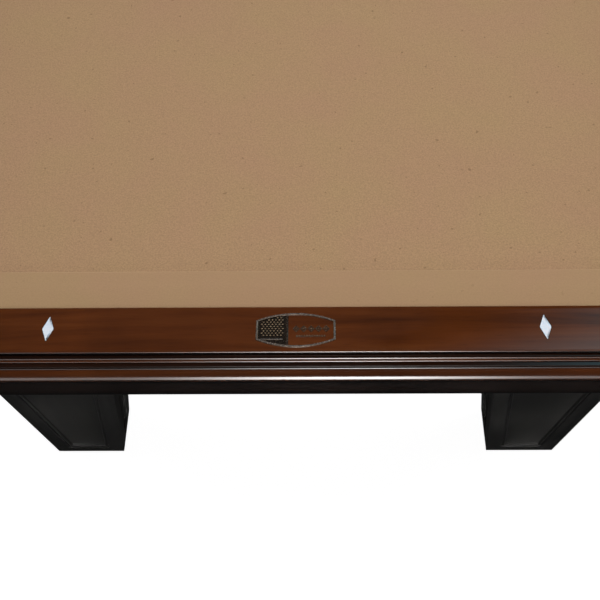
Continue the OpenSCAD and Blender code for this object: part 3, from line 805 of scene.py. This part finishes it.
def make_nameplate():
    """Cast plate: half-round rim, a panel of small pyramids, a bar, and a row of plain lozenges."""
    plate_y = corner("nameplate", 0).y + PLATE_H / 2
    build = Build()
    bank = [(0, -0.3), (0.15, 0.3), (0.5, 0.8), (1.0, 1.1), (1.5, 1.18)]
    half_round = bank + [(3.0 - into, up) for into, up in reversed(bank[:-1])]
    divider = -11.2

    def at(x, y, h):
        return (x, plate_y + y, rail_top + h)

    def about(cx, cy):
        return lambda x, y, h: at(cx + x, cy + y, h)

    def bar(x0, x1, y0, y1, top):
        loop = [(x1, y1), (x0, y1), (x0, y0), (x1, y0)]
        edge = min(x1 - x0, y1 - y0) / 2
        build.raised(loop, [(0, -0.2), (0.05, top * 0.3), (edge * 0.4, top * 0.85), (edge * 0.85, top)], at)

    rim = barrel()
    build.raised(rim, half_round, at, capped=False)
    panel = [p for p in inset(rim, 2.8) if p[0] < divider]
    panel += [(divider, sign * 0.92 * (PLATE_H / 2 - 3)) for sign in (-1, 1)]
    panel.sort(key=lambda p: math.atan2(p[1], p[0] - (divider - 15)))
    build.take([at(x, y, 0.06) for x, y in panel], fill(panel))
    step = 3.9
    pyramid = [(0, 0.0), (0.15, 0.5), (0.4, 0.82), (0.7, 0.9)]
    for row in range(-4, 6):
        for column in range(9):
            x = divider - 3.4 - column * step - (row % 2) * step / 2
            y = 1.6 + row * step * 0.75
            limit = PLATE_H / 2 - PLATE_BOW * (x / (PLATE_W / 2)) ** 2 - 4.4
            if x > -PLATE_W / 2 + 5.2 and -8.4 < y < limit:
                build.raised(diamond(1.8, 1.4), pyramid, about(x, y))
    bar(-39.5, divider - 3.0, -13.6, -11.4, 1.2)
    bar(divider, divider + 3.0, 3.0 - PLATE_H / 2, PLATE_H / 2 - 3.0, 0.6)
    ring = [(0, -0.2), (0.1, 0.4), (0.5, 0.7), (0.9, 0.7), (1.3, 0.4), (1.4, -0.2)]
    for i in range(5):
        spot = about(0.5 + 8.4 * i, 1.6)
        build.raised(diamond(4.0, 4.8), ring, spot, capped=False)
        build.raised(diamond(1.5, 1.8), [(0, -0.2), (0.1, 0.4), (0.6, 0.8)], spot)
    for i in range(12):
        bar(0.4 + 2.8 * i, 2.4 + 2.8 * i, -9.4, -6.6, 0.8)
    return piece("nameplate_cast", build.verts, build.faces, [pewter], ["nameplate"], sharp=50)


make_sights()
make_nameplate()

# ---------------------------------------------------------------- legs


def leg_mesh(node):
    """A tapered leg with a framed, recessed panel and a bead on each face, in the leg's own place."""
    low, high = corner(node, 0), corner(node, 1)
    centre = (low + high) / 2
    lean = LEG_TAPER
    height = high.z - low.z
    stile, low_rail, high_rail = 28, 20, 45
    steps = [(0, 0), (0.6, -0.4), (0.9, -2.8), (2.1, -3.0), (2.6, -1.9), (3.6, -1.0), (5.0, -0.8),
             (6.4, -1.4), (7.4, -2.8), (7.9, -4.6), (9.0, -5.2)]
    build = Build()
    top_half = Vector(((high.x - low.x) / 2, (high.y - low.y) / 2))
    foot_half = top_half - Vector((lean * height, lean * height))
    for turn in range(4):
        across, out = (foot_half.x, foot_half.y) if turn % 2 == 0 else (foot_half.y, foot_half.x)
        cosine, sine = math.cos(turn * math.pi / 2), math.sin(turn * math.pi / 2)

        def at(x, z, depth):
            y = -(out + lean * z + depth)
            return (centre.x + x * cosine - y * sine, centre.y + x * sine + y * cosine, low.z + z)

        def loop(side_in, low_in, high_in, depth):
            z0, z1 = low_in, height - high_in
            half0, half1 = across + lean * z0 - side_in, across + lean * z1 - side_in
            return [at(-half0, z0, depth), at(half0, z0, depth), at(half1, z1, depth), at(-half1, z1, depth)]

        rings = [loop(0, 0, 0, 0)]
        rings += [loop(stile + s, low_rail + s, high_rail + s, d) for s, d in steps]
        verts = [v for ring in rings for v in ring]
        last = len(verts) - 4
        build.take(verts, strip(rings, True) + [(last, last + 1, last + 2, last + 3)])
    for z, flip in ((0, True), (height, False)):
        half = foot_half + Vector((lean * z, lean * z))
        quad = [(-half.x, -half.y), (half.x, -half.y), (half.x, half.y), (-half.x, half.y)]
        order = (3, 2, 1, 0) if flip else (0, 1, 2, 3)
        build.take([(centre.x + x, centre.y + y, low.z + z) for x, y in quad], [order])
    return build


def make_leg(node):
    build = leg_mesh(node)
    made = piece(node + "_panelled", build.verts, build.faces, [ebony["z"]], [node], sharp=30)
    low, high = corner(node, 0), corner(node, 1)
    middle = ((low.x + high.x) / 2 * MM, (low.y + high.y) / 2 * MM, 0)
    bpy.ops.mesh.primitive_cylinder_add(vertices=48, radius=PAD_HOLE_R * MM, depth=2 * PAD_HOLE_H * MM,
                                        location=middle)
    cutter = bpy.context.object
    ease = made.modifiers.new("ease", "BEVEL")
    ease.width, ease.segments, ease.angle_limit = LEG_EASE * MM, 3, math.radians(60)
    hole = made.modifiers.new("hole", "BOOLEAN")
    hole.object, hole.operation, hole.solver = cutter, "DIFFERENCE", "EXACT"
    apply_modifiers(made)
    bpy.data.objects.remove(cutter)
    return made


def apply_modifiers(made, sharp=30):
    graph = bpy.context.evaluated_depsgraph_get()
    mesh = bpy.data.meshes.new_from_object(made.evaluated_get(graph))
    made.modifiers.clear()
    made.data = mesh
    finish_mesh(mesh, sharp)


for side in SIDES:
    for end in ENDS:
        make_leg(f"leg_{side}_{end}")

# ---------------------------------------------------------------- pockets


def stitch(build, at, along, up, length=3.0, thick=0.55, number=0):
    """One short thread lying along a direction, as a rounded sliver."""
    along, up = Vector(along).normalized(), Vector(up).normalized()
    side = along.cross(up)
    rings = []
    for t, swell in ((-0.5, 0.15), (-0.36, 0.8), (0, 1.0), (0.36, 0.8), (0.5, 0.15)):
        ring = []
        for k in range(6):
            a = math.radians(60 * k)
            off = (side * math.cos(a) + up * math.sin(a)) * thick * swell
            ring.append(tuple(Vector(at) + along * length * t + off))
        rings.append(ring)
    faces = strip(rings, True) + [(5, 4, 3, 2, 1, 0), (24, 25, 26, 27, 28, 29)]
    build.take([v for ring in rings for v in ring], faces, number)


def bag_radius(inner, angle):
    """Distance of the pouch's outer face from its axis: each sewn panel bellies out a little."""
    step = 2 * math.pi / BAG_PANELS
    part = (angle % step) / step
    return inner + BAG_T - 1.4 + 1.3 * math.sin(math.pi * part) ** 0.6


def make_bag(node, cx, cy, inner, turn):
    """Sewn pouch: twelve soft panels, a rounded foot, a rolled hem and a row of stitches by each seam."""
    build = Build()
    start = math.radians(turn + 90)
    around = BAG_PANELS * 8
    foot_r = 16

    def ring(radius_part, z, off):
        points = []
        for i in range(around):
            turn_by = 2 * math.pi * i / around
            full = bag_radius(inner, turn_by)
            r = (full - off) * radius_part
            points.append((cx + r * math.cos(start + turn_by), cy + r * math.sin(start + turn_by), z))
        return points

    rises = [(0.02, 0.6), (0.35, 0.3), (0.66, 0.3)]
    for k in range(1, 7):
        a = math.radians(15 * k)
        rises.append((1 - foot_r / (inner + BAG_T) * (1 - math.sin(a)), foot_r * (1 - math.cos(a))))
    rises += [(1.0, h) for h in (28, 46, 70, 96, 120, 140)]
    outer = [ring(part, bag_low + h, 0.2) for part, h in rises]
    tall, front = iron_low - bag_low, BAG_RIM - bag_low

    def rim_height(i):
        return tall if i / around < 0.5 else front

    def rim_ring(off, drop):
        points = []
        for i in range(around):
            turn_by = 2 * math.pi * i / around
            full = bag_radius(inner, turn_by) - off
            points.append((cx + full * math.cos(start + turn_by), cy + full * math.sin(start + turn_by),
                           bag_low + rim_height(i) - drop))
        return points

    rolled = ((0.2, 5.0), (-0.1, 3.6), (0.2, 1.0), (1.1, 0.3), (2.3, 1.0), (2.6, 4))
    hem = [rim_ring(off, drop) for off, drop in rolled]
    inside = [ring(part, bag_low + h + (2.6 if h < foot_r else 0), 3.0) for part, h in reversed(rises)]
    rings = outer + hem + inside
    verts = [v for r in rings for v in r]
    faces = strip(rings, True)
    faces += [tuple(range(around - 1, -1, -1)), tuple(range(len(verts) - around, len(verts)))]
    build.take(verts, faces)
    pitch_z = 6.4
    for p in range(BAG_PANELS):
        turn_by = 2 * math.pi * p / BAG_PANELS
        back = p / BAG_PANELS < 0.5
        stop = (tall if back else front) - 7
        for side in (-1, 1):
            a = turn_by + side * 2.3 / inner
            r = bag_radius(inner, a) + 0.05
            z = 24
            while z < stop:
                at = (cx + r * math.cos(start + a), cy + r * math.sin(start + a), bag_low + z)
                out = (math.cos(start + a), math.sin(start + a), 0)
                stitch(build, at, (0, 0, 1), out, 3.4, 0.42, 1)
                z += pitch_z
    return piece(node + "_sewn", build.verts, build.faces, [hide, waxed], [node],
                 which=build.which)


def make_iron(node, cx, cy, radius, first, last):
    """Leather-covered casting, with a row of stitches along its inner edge."""
    made = softened(node, hide, 2.2)
    build = Build()
    count = max(8, int(math.radians(last - first) * radius / 5.2))
    for i in range(count):
        a = math.radians(first + (last - first) * (i + 0.5) / count)
        at = (cx + radius * math.cos(a), cy + radius * math.sin(a), iron_top - 0.42)
        stitch(build, at, (-math.sin(a), math.cos(a), 0), (0, 0, 1), 3.2, 0.4)
    thread_piece = piece(node + "_stitches", build.verts, build.faces, [waxed])
    thread_piece.parent = made
    return made


def pocket_spots():
    """Name, centre, inner radius, facing and the angles of the iron's inner ring, for each pocket."""
    for side, sx in SIDES.items():
        for end, sy in ENDS.items():
            cx, cy = sx * (half_w + CORNER_C), sy * (half_l + CORNER_C)
            facing = math.degrees(math.atan2(-sy, -sx))
            yield f"{side}_{end}", cx, cy, CORNER_R, facing, facing + 78, facing + 282
        yield f"{side}_side", sx * (half_w + SIDE_C), 0, SIDE_R, 180 if sx > 0 else 0, 0, 0


for name, cx, cy, inner, facing, first, last in pocket_spots():
    make_bag("pocket_bag_" + name, cx, cy, inner, facing)
    if last > first:
        make_iron("pocket_iron_" + name, cx, cy, inner + 3.6, first, last)
    else:
        make_iron("pocket_iron_" + name, cx, cy, inner + 3.6, facing + 96, facing + 264)

# ---------------------------------------------------------------- cabinet and hidden parts

for node, axis in (("apron_head", "x"), ("apron_foot", "x"), ("apron_left", "y"), ("apron_right", "y")):
    softened(node, ebony[axis], 2.0)
softened("corner_panels", ebony["z"], 1.5)
for node in ("long_beam_left", "long_beam_middle", "long_beam_right"):
    softened(node, pine["y"], 2.0)
for node in ("cross_beam_head", "cross_beam_foot"):
    softened(node, pine["x"], 2.0)
for node in ("slate_head", "slate_middle", "slate_foot"):
    softened(node, stone, 0.8)


def repaint(node, mat):
    """Gives a carried-over CAD node its finish."""
    mesh = frame["nodes"][node].data
    mesh.materials.clear()
    mesh.materials.append(mat)


HARDWARE = ["rail_bolts", "slate_screws", "leg_bolts", "leveler_nuts"]
HARDWARE += [f"leveler_{side}_{end}" for side in SIDES for end in ENDS]
for node in HARDWARE:
    softened(node, steel, 0.5)
repaint("feather_strips", poplar)
repaint("cushion_facings", gum)
for rail_name, _, _, _ in each_rail():
    repaint("cushion_" + rail_name, gum)

# ---------------------------------------------------------------- floor, camera and lights

bpy.ops.mesh.primitive_plane_add(size=24, location=(0, 0, cad_low.z - 0.5 * MM))
floor = bpy.context.object
floor.name = "floor"
floor.data.materials.append(pale_floor("studio_floor"))
floor.visible_glossy = floor.visible_diffuse = False
floor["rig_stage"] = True


def card(name, width, height, place, aim, strength, reach, rest, tone=(1, 1, 1)):
    """A glowing card that only shiny surfaces see. Past its reach it keeps rest of its strength."""
    bpy.ops.mesh.primitive_plane_add(size=1, location=place)
    made = bpy.context.object
    made.name = name
    made.scale = (width, height, 1)
    made.rotation_euler = (Vector(aim) - Vector(place)).to_track_quat("Z", "Y").to_euler()
    mat = bpy.data.materials.new(name + "_glow")
    mat.use_nodes = True
    tree = mat.node_tree
    tree.nodes.clear()
    across = add(tree, "SeparateXYZ", {0: add(tree, "TexCoord").outputs["Object"]}).outputs["X"]
    away = calc(tree, "ABSOLUTE", across)
    fade = add(tree, "MapRange", {"Value": away, 1: 0.0, 2: reach / width, 3: 1.0, 4: 0.0},
               interpolation_type="SMOOTHSTEP")
    power = calc(tree, "MULTIPLY", calc(tree, "POWER", fade.outputs[0], 2.0), strength * (1 - rest))
    power = calc(tree, "ADD", power, strength * rest)
    glow = add(tree, "Emission", {"Color": rgb(*tone), "Strength": power})
    add(tree, "OutputMaterial", {"Surface": glow.outputs[0]})
    made.data.materials.append(mat)
    made.visible_camera = made.visible_diffuse = made.visible_shadow = False
    made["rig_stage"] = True
    return made


def softbox(name, place, aim, size, power):
    lamp = bpy.data.lights.new(name, "AREA")
    lamp.shape, lamp.size, lamp.size_y = "RECTANGLE", size[0], size[1]
    lamp.energy = power
    made = bpy.data.objects.new(name, lamp)
    scene.collection.objects.link(made)
    made.location = place
    made.rotation_euler = (Vector(aim) - Vector(place)).to_track_quat("-Z", "Y").to_euler()
    made.visible_glossy = False
    return made


head_y = -out_y * MM
card("strip_front", 3.8, 1.5, (0.12, head_y - 2.2, 0.52), (0.12, head_y, 0.52), 27.0, 0.96, 0.08)
card("window_right", 2.0, 2.0, (1.5, 0.12, 2.9), (0.3, head_y, 0.8), 1.6, 1.0, 0.0, (0.25, 0.82, 1.0))
softbox("key", (0.22, head_y + 0.1, 3.0), (0.18, head_y + 0.35, 0.5), (1.2, 1.2), 45)
softbox("back", (0.0, 5.2, 1.7), (0, 1.0, 0.6), (4.2, 1.8), 70)
softbox("left", (-4.4, 0.6, 1.5), (0, 0.4, 0.6), (4.2, 1.6), 30)
softbox("right", (4.4, 0.6, 1.5), (0, 0.4, 0.6), (4.2, 1.6), 45)
softbox("fill", (-0.4, 1.5, 4.4), (0, 0.6, 0.6), (3.0, 3.0), 82)

world = bpy.data.worlds.new("studio")
scene.world = world
world.use_nodes = True
sky = world.node_tree
high = add(sky, "SeparateXYZ", {0: add(sky, "TexCoord").outputs["Generated"]}).outputs["Z"]
part = add(sky, "MapRange", {"Value": high, 1: -0.25, 2: 0.35, 3: 0.0, 4: 1.0}).outputs[0]
soft = ramp(sky, part, [(0.0, grey(0.012)), (1.0, grey(0.055))])
seen = add(sky, "LightPath").outputs["Is Camera Ray"]
sky.links.new(mix(sky, seen, soft, grey(0.82)), sky.nodes["Background"].inputs["Color"])

# The camera stands over the head rail, a little right of the middle
FOCAL = 57.0
PITCH, YAW, ROLL = math.radians(55.21), math.radians(-1.586), math.radians(-1.575)
AHEAD_OF_SIGHTS = 0.5827
UP = 1.6978
RIGHT = 0.0218
s, c = math.sin(YAW), math.cos(YAW)
forward = Vector((s * math.cos(PITCH), c * math.cos(PITCH), -math.sin(PITCH)))
level = Vector((c, -s, 0))
rise = Vector((s * math.sin(PITCH), c * math.sin(PITCH), math.cos(PITCH)))
right = level * math.cos(ROLL) + rise * math.sin(ROLL)
above = rise * math.cos(ROLL) - level * math.sin(ROLL)
camera = bpy.data.objects.new("camera", bpy.data.cameras.new("camera"))
scene.collection.objects.link(camera)
camera.data.lens = FOCAL
camera.data.sensor_width = 36
camera.data.clip_start = 0.05
spot = Vector((RIGHT, -(half_l + SIGHT_U) * MM - AHEAD_OF_SIGHTS, UP))
turned = Matrix((right, above, -forward)).transposed().to_4x4()
camera.matrix_world = Matrix.Translation(spot) @ turned
scene.camera = camera

low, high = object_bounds()
